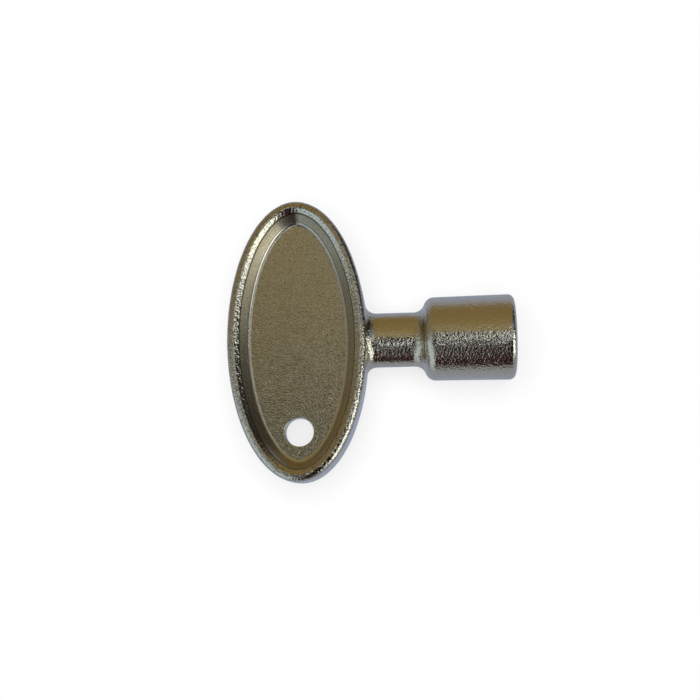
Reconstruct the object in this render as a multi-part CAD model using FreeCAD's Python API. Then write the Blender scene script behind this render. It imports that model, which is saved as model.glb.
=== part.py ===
"""Radiator bleed key: a one-piece nickel-plated zinc casting.

The casting is delivered as its four regions, which meet face to face:
bow_rim (oval rim and neck root), bow_web (thin plate with the hanging
hole), neck (flattened shank) and socket_barrel (shoulder, barrel, square socket).

Frame: millimetres. The origin is the centre of the socket's mouth. +X runs along
the shank and out of the mouth, +Y along the bow's long axis, away from the
hanging hole, and +Z is square to the bow.
"""
import FreeCAD, Part
import math
import os
from FreeCAD import Vector

# Bow: the grip, an oval seen along Z
BOW_LENGTH = 37.6               # along Y
BOW_WIDTH = 18.7                # along X
BOW_CENTRE_X = -28.85

# Bow rim section. "In" is the distance inward from the bow's outline, and
# slopes are degrees below the plane of the bow.
RIM_THICKNESS = 7.2             # crest to crest, along Z
OUTER_ROLL_RADIUS = 0.88
WALL_CROWN = 0.05               # the outer wall bulges by this much at half height
CREST_RADIUS = 0.3              # inner side of the crest
LIP_SLOPE = 38.0                # flat face from the crest down to the step
LIP_END_IN = 1.64
STEP_HEIGHT = 0.25              # small step that divides the lip from the cove
STEP_SLOPE = 78.0
COVE_SLOPE = 61.0
COVE_FOOT_RADIUS = 0.6

# Bow web
WEB_THICKNESS = 2.2
HOLE_DIAMETER = 3.8
HOLE_CENTRE_Y = -12.1
HOLE_EDGE_RADIUS = 0.2

# Neck: an oval shank, flatter than it is wide
NECK_WIDTH = 7.3                # along Y
NECK_HEIGHT = 5.4               # along Z
NECK_ROOT_FILLET = 1.4          # where the neck meets the rim
NECK_SHOULDER_FILLET = 1.5      # where the neck meets the barrel

# Socket barrel, with casting draft that widens it towards the mouth
BARREL_LENGTH = 12.0            # shoulder plane to mouth
BARREL_SHOULDER_DIAMETER = 11.1
BARREL_MOUTH_DIAMETER = 11.4
SHOULDER_EDGE_RADIUS = 1.4
MOUTH_EDGE_RADIUS = 0.85

# Female square for a 5 mm air-vent stem
SOCKET_ACROSS_FLATS = 5.2
SOCKET_DEPTH = 10.0
SOCKET_CORNER_RADIUS = 0.3
SOCKET_LEAD_IN = 0.4            # chamfer at the mouth

# Planes square to X where the casting is divided, clear of both fillets
ROOT_CUT_X = -18.0
SHOULDER_CUT_X = -13.6

TINY = 1e-3
X_AXIS = Vector(1, 0, 0)
Z_AXIS = Vector(0, 0, 1)


def oval_edge(half_x, half_y):
    """Ellipse in the XY plane about the bow's centre, starting at its +Y tip."""
    oval = Part.Ellipse(Vector(0, half_y, 0), Vector(half_x, 0, 0), Vector(0, 0, 0)).toShape()
    oval.translate(Vector(BOW_CENTRE_X, 0, 0))
    return oval


def rim_section():
    """Closed section of the rim, drawn at the bow's +Y tip in the YZ plane."""
    def at(distance_in, height):
        return Vector(BOW_CENTRE_X, BOW_LENGTH / 2 - distance_in, height)

    def arc(centre_in, centre_z, radius, start, end):
        """Arc about a centre; angles are degrees from straight up, positive inward."""
        ends = [at(centre_in + radius * math.sin(math.radians(turn)),
                   centre_z + radius * math.cos(math.radians(turn)))
                for turn in (start, (start + end) / 2, end)]
        return Part.Arc(*ends).toShape()

    def line(start, end):
        return Part.LineSegment(at(*start), at(*end)).toShape()

    crest_z = RIM_THICKNESS / 2
    roll_z = crest_z - OUTER_ROLL_RADIUS
    crest_in = WALL_CROWN + OUTER_ROLL_RADIUS
    web_z = WEB_THICKNESS / 2
    lip, step, cove = (math.radians(slope) for slope in (LIP_SLOPE, STEP_SLOPE, COVE_SLOPE))

    lip_start = (crest_in + CREST_RADIUS * math.sin(lip), crest_z - CREST_RADIUS * (1 - math.cos(lip)))
    lip_end = (LIP_END_IN, lip_start[1] - (LIP_END_IN - lip_start[0]) * math.tan(lip))
    step_end = (LIP_END_IN + STEP_HEIGHT / math.tan(step), lip_end[1] - STEP_HEIGHT)

    # The cove's wall meets the web in a fillet, tangent to both
    corner_in = step_end[0] + (step_end[1] - web_z) / math.tan(cove)
    tangent = COVE_FOOT_RADIUS * math.tan(cove / 2)
    foot_start = (corner_in - tangent * math.cos(cove), web_z + tangent * math.sin(cove))
    foot_end_in = corner_in + tangent

    upper = [
        arc(crest_in, roll_z, OUTER_ROLL_RADIUS, -90, 0),
        arc(crest_in, crest_z - CREST_RADIUS, CREST_RADIUS, 0, LIP_SLOPE),
        line(lip_start, lip_end),
        line(lip_end, step_end),
        line(step_end, foot_start),
        arc(foot_end_in, web_z + COVE_FOOT_RADIUS, COVE_FOOT_RADIUS, 180 + COVE_SLOPE, 180),
    ]
    lower = [edge.mirror(Vector(0, 0, 0), Z_AXIS) for edge in upper]
    outer_wall = Part.Arc(at(WALL_CROWN, -roll_z), at(0, 0), at(WALL_CROWN, roll_z)).toShape()
    inner_wall = line((foot_end_in, web_z), (foot_end_in, -web_z))
    return Part.Wire(Part.__sortEdges__([outer_wall, inner_wall] + upper + lower))


def make_rim():
    """The rim section swept once round the bow's outline, upright all the way."""
    spine = Part.Wire([oval_edge(BOW_WIDTH / 2, BOW_LENGTH / 2)])
    sweep = Part.BRepOffsetAPI.MakePipeShell(spine)
    sweep.setBiNormalMode(Z_AXIS)
    sweep.add(rim_section(), False, False)
    sweep.build()
    sweep.makeSolid()
    return sweep.shape()


def make_web(rim):
    """The plate inside the rim: an oval blank trimmed by the rim, with the hanging hole."""
    trim_in = 2.0                # the blank's edge lies inside the rim's own section
    blank = Part.Face(Part.Wire([oval_edge(BOW_WIDTH / 2 - trim_in, BOW_LENGTH / 2 - trim_in)]))
    blank.translate(Vector(0, 0, -WEB_THICKNESS / 2))
    plate = blank.extrude(Vector(0, 0, WEB_THICKNESS)).cut(rim).Solids[0]
    hole = Part.makeCylinder(HOLE_DIAMETER / 2, WEB_THICKNESS,
                             Vector(BOW_CENTRE_X, HOLE_CENTRE_Y, -WEB_THICKNESS / 2))
    plate = plate.cut(hole)
    hole_edges = [edge for edge in plate.Edges if edge.Curve.TypeId == "Part::GeomCircle"
                  and abs(edge.Curve.Radius - HOLE_DIAMETER / 2) < TINY]
    return plate.makeFillet(HOLE_EDGE_RADIUS, hole_edges)


def make_neck_bar():
    """Oval bar from inside the rim to inside the barrel."""
    start_x = BOW_CENTRE_X + BOW_WIDTH / 2 - OUTER_ROLL_RADIUS
    end_x = -BARREL_LENGTH + TINY
    oval = Part.Ellipse(Vector(0, NECK_WIDTH / 2, 0), Vector(0, 0, NECK_HEIGHT / 2), Vector(0, 0, 0))
    section = Part.Face(Part.Wire([oval.toShape()]))
    section.translate(Vector(start_x, 0, 0))
    return section.extrude(Vector(end_x - start_x, 0, 0))


def edges_in_plane(shape, x):
    """Edges that lie in the plane square to X at x."""
    return [edge for edge in shape.Edges
            if abs(edge.BoundBox.XMin - x) < TINY / 2 and abs(edge.BoundBox.XMax - x) < TINY / 2]


def make_barrel():
    """Drafted round barrel with a rounded shoulder and a rounded mouth."""
    barrel = Part.makeCone(BARREL_SHOULDER_DIAMETER / 2, BARREL_MOUTH_DIAMETER / 2, BARREL_LENGTH,
                           Vector(-BARREL_LENGTH, 0, 0), X_AXIS)
    barrel = barrel.makeFillet(SHOULDER_EDGE_RADIUS, edges_in_plane(barrel, -BARREL_LENGTH))
    return barrel.makeFillet(MOUTH_EDGE_RADIUS, edges_in_plane(barrel, 0))


def square_wire(across, x):
    """Square outline about the X axis, in the plane square to X at x."""
    half = across / 2
    corners = [Vector(x, y, z) for y, z in ((-half, -half), (half, -half), (half, half), (-half, half))]
    return Part.makePolygon(corners + corners[:1])


def make_socket():
    """Blind square hole with rounded corners, and its chamfered lead-in."""
    half = SOCKET_ACROSS_FLATS / 2
    hole = Part.makeBox(SOCKET_DEPTH + TINY, SOCKET_ACROSS_FLATS, SOCKET_ACROSS_FLATS,
                        Vector(-SOCKET_DEPTH, -half, -half))
    long_edges = [edge for edge in hole.Edges if edge.BoundBox.XLength > SOCKET_DEPTH]
    hole = hole.makeFillet(SOCKET_CORNER_RADIUS, long_edges)
    # The chamfer's 45 degree pyramid runs on inward past the rounded corners
    reach = SOCKET_LEAD_IN + SOCKET_CORNER_RADIUS
    mouth_across = SOCKET_ACROSS_FLATS + 2 * SOCKET_LEAD_IN
    lead_in = Part.makeLoft([square_wire(mouth_across - 2 * reach, -reach),
                             square_wire(mouth_across, 0)], True, True)
    return hole.fuse(lead_in)


def round_neck_root(rim, neck_bar):
    """Rim and neck joined, with the fillet where the neck leaves the rim."""
    body = rim.fuse(neck_bar)
    wall_x = BOW_CENTRE_X + BOW_WIDTH / 2
    joint = [edge for edge in body.Edges
             if abs(edge.BoundBox.Center.x - wall_x) < OUTER_ROLL_RADIUS
             and edge.BoundBox.YMin > -NECK_WIDTH / 2 - TINY
             and edge.BoundBox.YMax < NECK_WIDTH / 2 + TINY]
    return body.makeFillet(NECK_ROOT_FILLET, joint)


def round_shoulder(barrel, neck_bar):
    """Barrel and neck joined, with the fillet that runs into the rounded shoulder."""
    body = barrel.fuse(neck_bar)
    joint = [edge for edge in edges_in_plane(body, -BARREL_LENGTH)
             if edge.BoundBox.YMax < NECK_WIDTH / 2 + TINY]
    return body.makeFillet(NECK_SHOULDER_FILLET, joint)


def slab(start_x, end_x):
    """Block wide enough to hold the whole key between two planes square to X."""
    reach = BOW_LENGTH
    return Part.makeBox(end_x - start_x, 2 * reach, 2 * reach, Vector(start_x, -reach, -reach))


def make_nodes():
    rim = make_rim()
    neck_bar = make_neck_bar()
    far_left = BOW_CENTRE_X - BOW_WIDTH
    return {
        "bow_rim": round_neck_root(rim, neck_bar).common(slab(far_left, ROOT_CUT_X)),
        "bow_web": make_web(rim),
        "neck": neck_bar.common(slab(ROOT_CUT_X, SHOULDER_CUT_X)),
        "socket_barrel": round_shoulder(make_barrel(), neck_bar)
                         .common(slab(SHOULDER_CUT_X, BARREL_LENGTH)).cut(make_socket()),
    }


os.makedirs("parts", exist_ok=True)
total = 0.0
for name, node in make_nodes().items():
    solid = node.Solids[0]
    box = solid.optimalBoundingBox()
    total += solid.Volume
    print(f"{name}: solids {len(node.Solids)}, valid {solid.isValid()}, {solid.Volume:.1f} mm3, "
          f"x {box.XMin:.2f}..{box.XMax:.2f}, y {box.YMin:.2f}..{box.YMax:.2f}, "
          f"z {box.ZMin:.2f}..{box.ZMax:.2f}")
    solid.exportStep(f"parts/{name}.step")
print(f"all: {total:.1f} mm3")
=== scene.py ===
"""Radiator bleed key: the nickel-plated casting in its studio.

The four regions of the casting keep their CAD shapes. This file gives them the
nickel plate's colour and grain, and sets up the floor, the light and the camera.
Everything is in metres, in the frame of the CAD model.
"""
import bpy
import math
from mathutils import Matrix, Vector


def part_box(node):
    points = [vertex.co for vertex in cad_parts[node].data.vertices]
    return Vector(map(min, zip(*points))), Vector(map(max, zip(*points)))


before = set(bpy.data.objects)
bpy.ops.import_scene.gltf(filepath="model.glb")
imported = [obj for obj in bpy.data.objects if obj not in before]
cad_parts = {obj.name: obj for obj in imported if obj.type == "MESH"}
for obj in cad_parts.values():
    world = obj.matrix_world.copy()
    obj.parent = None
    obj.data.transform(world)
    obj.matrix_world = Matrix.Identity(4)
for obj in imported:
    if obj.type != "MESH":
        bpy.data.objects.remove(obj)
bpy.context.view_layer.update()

MM = 0.001

# Camera: nearly square to the bow, close by
CAMERA_DISTANCE = 161.57 * MM
CAMERA_LENS = 61.95                  # on a 36 mm sensor
CAMERA_TARGET = Vector((-20.0, 0.0, 0.0)) * MM
CAMERA_OFFSET = Vector((-1.958, -1.220, 0.0)) * MM
TILT_ALONG_SHANK = 3.298             # degrees, mouth end towards the camera
TILT_ACROSS_SHANK = -8.307
ROLL = 1.104


def camera_axes():
    """Rows are the camera's right, up and back axes in the key's frame."""
    a, b, c = (math.radians(v) for v in (TILT_ALONG_SHANK, TILT_ACROSS_SHANK, ROLL))
    along = Matrix(((math.cos(a), 0, -math.sin(a)), (0, 1, 0), (math.sin(a), 0, math.cos(a))))
    across = Matrix(((1, 0, 0), (0, math.cos(b), -math.sin(b)), (0, math.sin(b), math.cos(b))))
    roll = Matrix(((math.cos(c), -math.sin(c), 0), (math.sin(c), math.cos(c), 0), (0, 0, 1)))
    return roll @ across @ along


AXES = camera_axes()


# ---------------------------------------------------------------- node helpers
class Nodes:
    """Short calls that build a node tree."""

    def __init__(self, tree):
        self.tree = tree
        tree.nodes.clear()

    def add(self, kind, **settings):
        node = self.tree.nodes.new(kind)
        for key, value in settings.items():
            setattr(node, key, value)
        return node

    def set(self, socket, value):
        if isinstance(value, bpy.types.NodeSocket):
            self.tree.links.new(value, socket)
        else:
            socket.default_value = value

    def math(self, operation, *values):
        node = self.add("ShaderNodeMath", operation=operation)
        for socket, value in zip(node.inputs, values):
            self.set(socket, value)
        return node.outputs[0]

    def times(self, a, b):
        return self.math("MULTIPLY", a, b)

    def plus(self, a, b):
        return self.math("ADD", a, b)

    def without(self, a):
        """What is left of 1."""
        return self.math("SUBTRACT", 1.0, a)

    def size(self, a):
        return self.math("ABSOLUTE", a)

    def split(self, vector):
        node = self.add("ShaderNodeSeparateXYZ")
        self.set(node.inputs[0], vector)
        return node.outputs["X"], node.outputs["Y"], node.outputs["Z"]

    def along(self, vector, axis):
        node = self.add("ShaderNodeVectorMath", operation="DOT_PRODUCT")
        self.set(node.inputs[0], vector)
        self.set(node.inputs[1], axis)
        return node.outputs["Value"]

    def remap(self, value, low, high, to_low=0.0, to_high=1.0, smooth=True):
        node = self.add("ShaderNodeMapRange",
                        interpolation_type="SMOOTHSTEP" if smooth else "LINEAR")
        for name, v in (("Value", value), ("From Min", low), ("From Max", high),
                        ("To Min", to_low), ("To Max", to_high)):
            self.set(node.inputs[name], v)
        return node.outputs["Result"]

    def band(self, value, low, high, soft):
        """1 between low and high, 0 outside, each edge spread over soft on both sides."""
        return self.times(self.remap(value, low - soft, low + soft),
                          self.remap(value, high - soft, high + soft, 1.0, 0.0))

    def mix(self, factor, a, b):
        node = self.add("ShaderNodeMix", data_type="RGBA")
        self.set(node.inputs[0], factor)
        self.set(node.inputs[6], a)
        self.set(node.inputs[7], b)
        return node.outputs[2]

    def blend(self, factor, a, b):
        node = self.add("ShaderNodeMix", data_type="FLOAT")
        self.set(node.inputs[0], factor)
        self.set(node.inputs[2], a)
        self.set(node.inputs[3], b)
        return node.outputs[0]

    def noise(self, vector, scale, detail):
        node = self.add("ShaderNodeTexNoise")
        self.set(node.inputs["Vector"], vector)
        node.inputs["Scale"].default_value = scale
        node.inputs["Detail"].default_value = detail
        return node.outputs["Fac"]

    def ramp(self, factor, stops):
        node = self.add("ShaderNodeValToRGB")
        elements = node.color_ramp.elements
        while len(elements) < len(stops):
            elements.new(0.5)
        for element, (place, colour) in zip(elements, stops):
            element.position = place
            element.color = (*colour, 1.0)
        self.set(node.inputs["Fac"], factor)
        return node.outputs["Color"]


# ---------------------------------------------------------------- nickel plate
NICKEL = (0.64, 0.59, 0.49)          # mean reflectance, used to set the studio's colours
NICKEL_COOL = (0.635, 0.59, 0.50, 1)
NICKEL_WARM = (0.655, 0.60, 0.485, 1)
NICKEL_DULL = (0.48, 0.445, 0.375, 1)
PIT_COLOUR = (0.20, 0.18, 0.14, 1)
# Painted shade along the crease at the top of the rim's coves
CREASE_SHADE_COLOUR = (0.10, 0.085, 0.06, 1)
# Painted reflection: dark specks on the lip stand for dark surroundings mirrored in its grain
REFLECTION_SPECK_COLOUR = (0.09, 0.08, 0.06, 1)
# Painted shade down the socket's walls
SOCKET_SHADE_COLOUR = (0.07, 0.064, 0.052, 1)

# Scales are in features per metre, relief in mm, roughness from and to. A range is the
# part of a noise, from 0 to 1, over which it takes effect.
CAST = {"tone_scale": 2600.0, "dulling": 0.30, "pitting": 0.0,
        "grain_scale": 3800.0, "grain": 0.058, "wave": 0.030, "roughness": (0.08, 0.14)}
NECK = {**CAST, "grain": 0.038}
BEADED = {**CAST, "tone_scale": 5200.0, "dulling": 0.50, "pitting": 0.45}
SATIN = {"tone_scale": 5200.0, "dulling": 0.65, "pitting": 0.45,
         "grain_scale": 6200.0, "grain": 0.029, "wave": 0.004, "roughness": (0.11, 0.17)}
WARMTH_SCALE, WARMTH_RANGE = 260.0, (0.35, 0.65)
DULL_RANGE, PIT_RANGE = (0.30, 0.72), (0.60, 0.70)
ROUGHNESS_SCALE, ROUGHNESS_RANGE = 700.0, (0.3, 0.7)
WAVE_SCALE, FINE_SCALE, FINE_GRAIN = 1500.0, 11000.0, 0.006

# The bow's rim: its coves lie inside the crest of the bead and below its lip
RIM_HALF_WIDTH = 9.35 * MM           # of the bow alone, without the root of the neck
CREST_INSIDE = (0.935, 0.945)        # fraction of the bow's half axes
LIP_FOOT = (3.02 * MM, 3.10 * MM)    # distance from the bow's middle plane
LIP_START = (3.02 * MM, 3.14 * MM)
CREASE_HEIGHT = 2.96 * MM
CREASE_HALF_WIDTH = (0.10 * MM, 0.24 * MM)
CREASE_SHADE_DEPTH = 0.88
COVE_RELIEF, COVE_ROUGHNESS = 0.25, 0.24
# Dark specks on the lip: painted reflections of dark surroundings in its grain
REFLECTION_SPECK_SCALE, REFLECTION_SPECK_RANGE, REFLECTION_SPECK_DEPTH = 5200.0, (0.54, 0.62), 0.38

# The socket: its walls lie within the mouth's chamfer
SOCKET_REACH = (3.05 * MM, 3.10 * MM)
SOCKET_BACK = (-11.0 * MM, -10.5 * MM)
SOCKET_SHADE = (-0.3 * MM, -5.0 * MM)
# How dark the painted shade gets towards the socket's back, and the relief there
SOCKET_SHADE_DEPTH, SOCKET_RELIEF = 0.80, 0.35
MOUTH_FACE = (-0.30 * MM, -0.03 * MM)
MOUTH_RELIEF = 0.5


def plate(name, finish, dress=None):
    """Nickel over a cast surface: pebble grain, waviness and dull pits.

    dress changes the plate on one piece: it takes the nodes, place, colour, height
    and roughness, and returns the last three.
    """
    material = bpy.data.materials.new(name)
    material.use_nodes = True
    n = Nodes(material.node_tree)
    output = n.add("ShaderNodeOutputMaterial")
    shader = n.add("ShaderNodeBsdfPrincipled")
    n.set(output.inputs["Surface"], shader.outputs["BSDF"])
    shader.inputs["Metallic"].default_value = 1.0
    place = n.add("ShaderNodeTexCoord").outputs["Object"]

    # Colour: a little warmer in some patches, duller in others, darkest in the pits
    warmth = n.remap(n.noise(place, WARMTH_SCALE, 3.0), *WARMTH_RANGE)
    colour = n.mix(warmth, NICKEL_COOL, NICKEL_WARM)
    tone = n.noise(place, finish["tone_scale"], 2.0)
    colour = n.mix(n.remap(tone, *DULL_RANGE, 0.0, finish["dulling"]), colour, NICKEL_DULL)
    if finish["pitting"]:
        colour = n.mix(n.remap(tone, *PIT_RANGE, 0.0, finish["pitting"]), colour, PIT_COLOUR)

    # Relief: waviness of the casting, then the pebble grain, then fine grain
    height = n.plus(n.times(n.noise(place, WAVE_SCALE, 1.0), finish["wave"]),
                    n.times(n.noise(place, finish["grain_scale"], 1.0), finish["grain"]))
    height = n.plus(height, n.times(n.noise(place, FINE_SCALE, 1.0), FINE_GRAIN))
    rough = n.noise(place, ROUGHNESS_SCALE, 3.0)
    rough = n.remap(rough, *ROUGHNESS_RANGE, *finish["roughness"])
    if dress:
        colour, height, rough = dress(n, place, colour, height, rough)

    bump = n.add("ShaderNodeBump")
    bump.inputs["Strength"].default_value = 1.0
    bump.inputs["Distance"].default_value = MM
    n.set(bump.inputs["Height"], height)
    n.set(shader.inputs["Base Color"], colour)
    n.set(shader.inputs["Roughness"], rough)
    n.set(shader.inputs["Normal"], bump.outputs["Normal"])
    return material


def dress_rim(n, place, colour, height, rough):
    """Smooth coves, painted shade in the crease at their top, painted dark reflections as
    specks on the lip.
    """
    x, y, z = n.split(place)
    low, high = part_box("bow_rim")
    across = n.math("DIVIDE", n.math("SUBTRACT", x, low.x + RIM_HALF_WIDTH), RIM_HALF_WIDTH)
    length = n.math("DIVIDE", y, high.y)
    out = n.math("SQRT", n.plus(n.times(across, across), n.times(length, length)))
    inside = n.remap(out, *CREST_INSIDE, 1.0, 0.0)
    level = n.size(z)
    cove = n.times(inside, n.remap(level, *LIP_FOOT, 1.0, 0.0))
    from_crease = n.size(n.math("SUBTRACT", level, CREASE_HEIGHT))
    crease_shade = n.times(inside, n.remap(from_crease, *CREASE_HALF_WIDTH, 1.0, 0.0))
    # Painted shade: the plate is darkened along the crease where the coves meet the lip
    colour = n.mix(n.times(crease_shade, CREASE_SHADE_DEPTH), colour, CREASE_SHADE_COLOUR)
    # Painted reflection: dark specks over the lip, standing for dark surroundings mirrored
    # there
    reflection_specks = n.remap(n.noise(place, REFLECTION_SPECK_SCALE, 1.0), *REFLECTION_SPECK_RANGE, 0.0, REFLECTION_SPECK_DEPTH)
    colour = n.mix(n.times(n.remap(level, *LIP_START), reflection_specks), colour, REFLECTION_SPECK_COLOUR)
    height = n.times(height, n.remap(cove, 0.0, 1.0, 1.0, COVE_RELIEF, smooth=False))
    return colour, height, n.blend(cove, rough, COVE_ROUGHNESS)


def dress_barrel(n, place, colour, height, rough):
    """Painted shade down the socket, and less relief there and on the mouth's face."""
    x, y, z = n.split(place)
    off_axis = n.math("MAXIMUM", n.size(y), n.size(z))
    recess = n.times(n.remap(off_axis, *SOCKET_REACH, 1.0, 0.0), n.remap(x, *SOCKET_BACK))
    # Painted shade: darker the deeper into the socket
    painted_socket_shade = n.times(recess, n.remap(x, *SOCKET_SHADE, 0.0, SOCKET_SHADE_DEPTH))
    colour = n.mix(painted_socket_shade, colour, SOCKET_SHADE_COLOUR)
    height = n.times(height, n.remap(recess, 0.0, 1.0, 1.0, SOCKET_RELIEF, smooth=False))
    height = n.times(height, n.remap(x, *MOUTH_FACE, 1.0, MOUTH_RELIEF))
    return colour, height, rough


MATERIALS = {
    "bow_rim": plate("nickel_rim", BEADED, dress_rim),
    "bow_web": plate("nickel_web", SATIN),
    "neck": plate("nickel_neck", NECK),
    "socket_barrel": plate("nickel_barrel", CAST, dress_barrel),
}
for node_name, material in MATERIALS.items():
    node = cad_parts[node_name]
    node.data.materials.clear()
    node.data.materials.append(material)

# ---------------------------------------------------------------- surroundings
# What the nickel mirrors: a studio of cards and flags set round the camera's axis.
# Colours are 0-255 as they look in the plate. Directions are degrees: azimuth
# anticlockwise from the picture's right, and angle from the camera's axis.
BACKDROP = (135, 137, 141)           # behind and beside the key
BACKDROP_START = (98.0, 124.0)       # angle
WALL = (128, 129, 124)
# name: azimuth from, azimuth to, angle from, angle to, softness, colour
CARDS = {
    "grey_flag_left": (150, 182, 60, 100, 10, (108, 100, 76)),
    "pale_card_left": (184, 262, 46, 98, 8, (167, 176, 170)),
    "red_flag_below": (258, 301, 19, 86, 5, (44, 24, 22)),
    "red_flag_corner": (296, 316, 22, 56, 5, (40, 27, 25)),
    "black_flag_close": (286, 374, 18, 48, 3, (20, 18, 15)),
    "window_right": (318, 353, 45, 76, 3, (294, 289, 262)),
    "window_side": (346, 370, 41, 63.8, 1.0, (282, 279, 252)),
    "grey_flag_right": (326, 354, 84, 98, 6, (112, 112, 104)),
    "black_strip_right": (353, 390, 63.8, 92, 1.6, (20, 17, 14)),
    "black_flag_right": (386, 412, 52, 110, 8, (38, 32, 24)),
}
RED_FLAG_GLINT = (128, 120, 112)
GLINT_SCALE, GLINT_CUT = 8.0, (0.69, 0.72)

# Brown canopy overhead, above a straight front edge: angle and colour
CANOPY = [(12, (130, 126, 101)), (23, (140, 129, 95)), (34, (124, 105, 66)),
          (60, (116, 97, 57)), (92, (113, 94, 57)), (108, (126, 117, 98))]
CANOPY_EDGE = (0.20, 0.27)           # upward part of the direction
CANOPY_LEFT = (112, 100, 72)
CANOPY_LEFT_REACH = (-0.25, -0.75)   # rightward part of the direction
CANOPY_LEFT_SHARE = 0.8
CANOPY_THIN_STRIP = (-0.30, -0.115, 0.025)
CANOPY_THIN_REACH = (14.0, 22.5)     # angle over which the strip fades
CANOPY_THINNING = 0.58
CANOPY_GAP = (348, 414, 18, 130, 9)  # opening at the right, placed like the cards

# Silver and black patches close to the axis, the camera's own surroundings
PATCH_LIGHT, PATCH_DARK = (248, 247, 236), (12, 10, 8)
PATCH_SCALE, PATCH_CUT = 5.5, (0.562, 0.582)
PATCH_REACH = (24.0, 38.0)           # angle over which they fade
PATCH_FOOT = (-0.24, -0.42)          # upward part of the direction over which they thin out
PATCH_FOOT_SHARE = 0.15              # what is left of them below
DARK_BAR = (298, 364, 7, 46, 3)      # placed like the cards

PALE_STUDIO = (0.93, 0.93, 0.93)     # what the camera sees beyond the floor


def linear(colour, channel):
    v = colour[channel] / 255
    return v / 12.92 if v <= 0.04045 else ((v + 0.055) / 1.055) ** 2.4


def radiance(colour):
    """Light that, mirrored in the plate, gives this colour."""
    return tuple(linear(colour, i) / NICKEL[i] for i in range(3))


def rgba(colour):
    return (*radiance(colour), 1.0)


def surroundings():
    world = bpy.data.worlds.new("studio")
    bpy.context.scene.world = world
    world.use_nodes = True
    world.cycles_visibility.diffuse = False
    n = Nodes(world.node_tree)
    direction = n.add("ShaderNodeTexCoord").outputs["Generated"]
    right, up, back = (n.along(direction, tuple(AXES[i])) for i in range(3))
    from_axis = n.math("ARCCOSINE", back)
    turn = n.times(from_axis, 180 / math.pi)
    away = n.math("MAXIMUM", n.math("SINE", from_axis), 1e-4)    # never 0, to divide by it

    def card(start, end, near, far, soft):
        """1 inside the card, 0 outside."""
        middle, half = math.radians((start + end) / 2), (end - start) / 2
        across = n.plus(n.times(right, math.cos(middle)), n.times(up, math.sin(middle)))
        across = n.math("DIVIDE", across, away)
        edge = [math.cos(math.radians(half + s)) for s in (soft, -soft)]
        return n.times(n.remap(across, *edge), n.band(turn, near, far, soft))

    sky = rgba(WALL)
    for name, (*place, colour) in CARDS.items():
        paint = rgba(colour)
        if name == "red_flag_below":
            glints = n.remap(n.noise(direction, GLINT_SCALE, 1.0), *GLINT_CUT)
            paint = n.mix(glints, paint, rgba(RED_FLAG_GLINT))
        sky = n.mix(card(*place), sky, paint)

    # Canopy: greyer to the left, thinner in a strip just left of the axis, open at the right
    canopy = n.ramp(n.math("DIVIDE", turn, 180.0), [(a / 180, radiance(c)) for a, c in CANOPY])
    leftward = n.remap(right, *CANOPY_LEFT_REACH, 0.0, CANOPY_LEFT_SHARE)
    canopy = n.mix(leftward, canopy, rgba(CANOPY_LEFT))
    thinning = n.times(n.band(right, *CANOPY_THIN_STRIP),
                       n.remap(turn, *CANOPY_THIN_REACH, CANOPY_THINNING, 0.0))
    cover = n.times(n.remap(up, *CANOPY_EDGE), n.without(thinning))
    sky = n.mix(n.times(cover, n.without(card(*CANOPY_GAP))), sky, canopy)

    # Patches: noise cut in two. Each shift is a change to the noise, more silver above 0 and
    # more black below 0, between edges given as the rightward or upward part of the direction
    spots = n.noise(direction, PATCH_SCALE, 1.0)
    above_right = n.times(n.remap(right, -0.03, 0.06, 0.0, 0.05), n.remap(up, -0.04, 0.06))
    left = n.times(n.band(right, -0.30, -0.052, 0.018), -0.20)
    low = n.remap(up, -0.65, -0.25, -0.06, 0.0)
    below_right = n.times(n.remap(right, 0.02, 0.12, 0.0, -0.10),
                          n.remap(up, -0.12, -0.02, 1.0, 0.0))
    just_below = n.times(n.band(up, -0.27, -0.01, 0.04),
                         n.remap(right, -0.08, -0.045, -0.05, 0.11))
    just_above = n.times(n.band(up, 0.02, 0.16, 0.04), -0.02)
    bar = n.times(card(*DARK_BAR), -0.30)
    for shift in (above_right, left, low, below_right, just_below, just_above, bar):
        spots = n.plus(spots, shift)
    patch = n.mix(n.remap(spots, *PATCH_CUT), rgba(PATCH_DARK), rgba(PATCH_LIGHT))
    near = n.times(n.remap(turn, *PATCH_REACH, 1.0, 0.0),
                   n.remap(up, *PATCH_FOOT, 1.0, PATCH_FOOT_SHARE))
    sky = n.mix(n.times(near, n.without(cover)), sky, patch)

    sky = n.mix(n.remap(turn, *BACKDROP_START), sky, rgba(BACKDROP))

    seen = n.add("ShaderNodeLightPath").outputs["Is Camera Ray"]
    background = n.add("ShaderNodeBackground")
    n.set(background.inputs["Color"], n.mix(seen, sky, (*PALE_STUDIO, 1)))
    output = n.add("ShaderNodeOutputWorld")
    n.set(output.inputs["Surface"], background.outputs[0])


surroundings()

# ---------------------------------------------------------------- floor and light
# The key lies on the lower edge of its mouth and on the far end of its bow
MOUTH_CONTACT = Vector((-0.85, 0.0, -5.69)) * MM
BOW_CONTACT = Vector((-37.27, 0.0, -3.60)) * MM
FLOOR_SIDE = 6.0
PAPER_TONES = (0.26, 0.26, 0.26, 1), (0.30, 0.30, 0.30, 1)
PAPER_SCALE = 90.0                   # features per metre
PAPER_GLOW = 0.70                    # lifts the paper to the photo's near white
SOFTBOX = {"place": (-0.02, 0.02, 0.9), "target": (-0.02, 0.0, 0.0), "size": 1.2, "power": 13.0}


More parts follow.
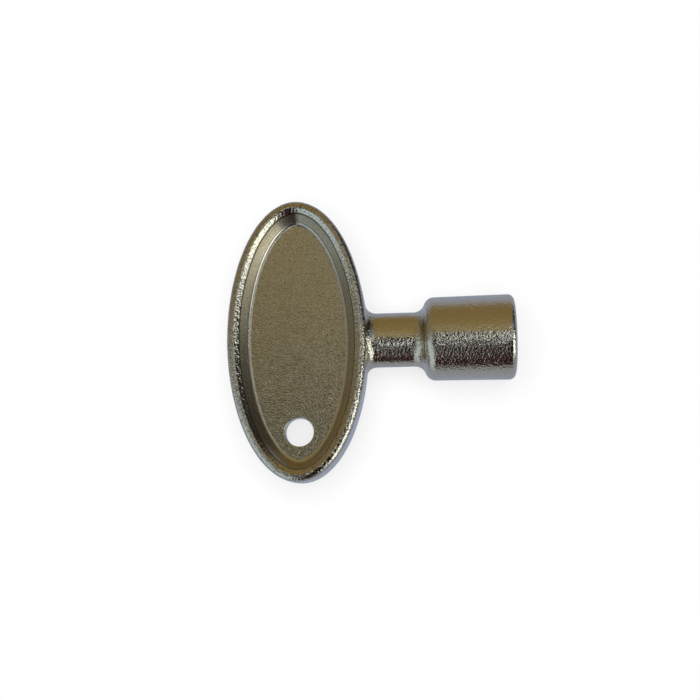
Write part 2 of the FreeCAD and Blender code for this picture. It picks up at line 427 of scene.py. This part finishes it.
def floor():
    slope = math.atan2(BOW_CONTACT.z - MOUTH_CONTACT.z, MOUTH_CONTACT.x - BOW_CONTACT.x)
    bpy.ops.mesh.primitive_plane_add(size=FLOOR_SIDE)
    plane = bpy.context.object
    plane.name = "floor"
    plane.rotation_euler = (0.0, slope, 0.0)
    plane.location = (MOUTH_CONTACT + BOW_CONTACT) / 2
    plane.visible_glossy = False
    material = bpy.data.materials.new("pale_paper")
    material.use_nodes = True
    n = Nodes(material.node_tree)
    output = n.add("ShaderNodeOutputMaterial")
    shader = n.add("ShaderNodeBsdfPrincipled")
    n.set(output.inputs["Surface"], shader.outputs["BSDF"])
    place = n.add("ShaderNodeTexCoord").outputs["Object"]
    n.set(shader.inputs["Base Color"], n.mix(n.noise(place, PAPER_SCALE, 4.0), *PAPER_TONES))
    shader.inputs["Emission Color"].default_value = (1.0, 1.0, 1.0, 1.0)
    shader.inputs["Emission Strength"].default_value = PAPER_GLOW
    shader.inputs["Roughness"].default_value = 0.9
    shader.inputs["Specular IOR Level"].default_value = 0.0
    plane.data.materials.append(material)


def area_light(name, place, target, size, power):
    data = bpy.data.lights.new(name, "AREA")
    data.shape = "DISK"
    data.size = size
    data.energy = power
    lamp = bpy.data.objects.new(name, data)
    bpy.context.collection.objects.link(lamp)
    lamp.location = place
    lamp.rotation_euler = (Vector(target) - Vector(place)).to_track_quat("-Z", "Y").to_euler()
    lamp.visible_glossy = False


floor()
area_light("overhead_softbox", **SOFTBOX)


# ---------------------------------------------------------------- camera
def camera():
    data = bpy.data.cameras.new("camera")
    data.sensor_width = 36.0
    data.lens = CAMERA_LENS
    data.clip_start = 0.005
    data.clip_end = 50.0
    cam = bpy.data.objects.new("camera", data)
    bpy.context.collection.objects.link(cam)
    to_key = AXES.transposed()
    place = CAMERA_TARGET + to_key @ (CAMERA_OFFSET + Vector((0, 0, CAMERA_DISTANCE)))
    cam.matrix_world = Matrix.Translation(place) @ to_key.to_4x4()
    bpy.context.scene.camera = cam


camera()
scene = bpy.context.scene
scene.view_settings.view_transform = "Standard"
scene.view_settings.look = "None"
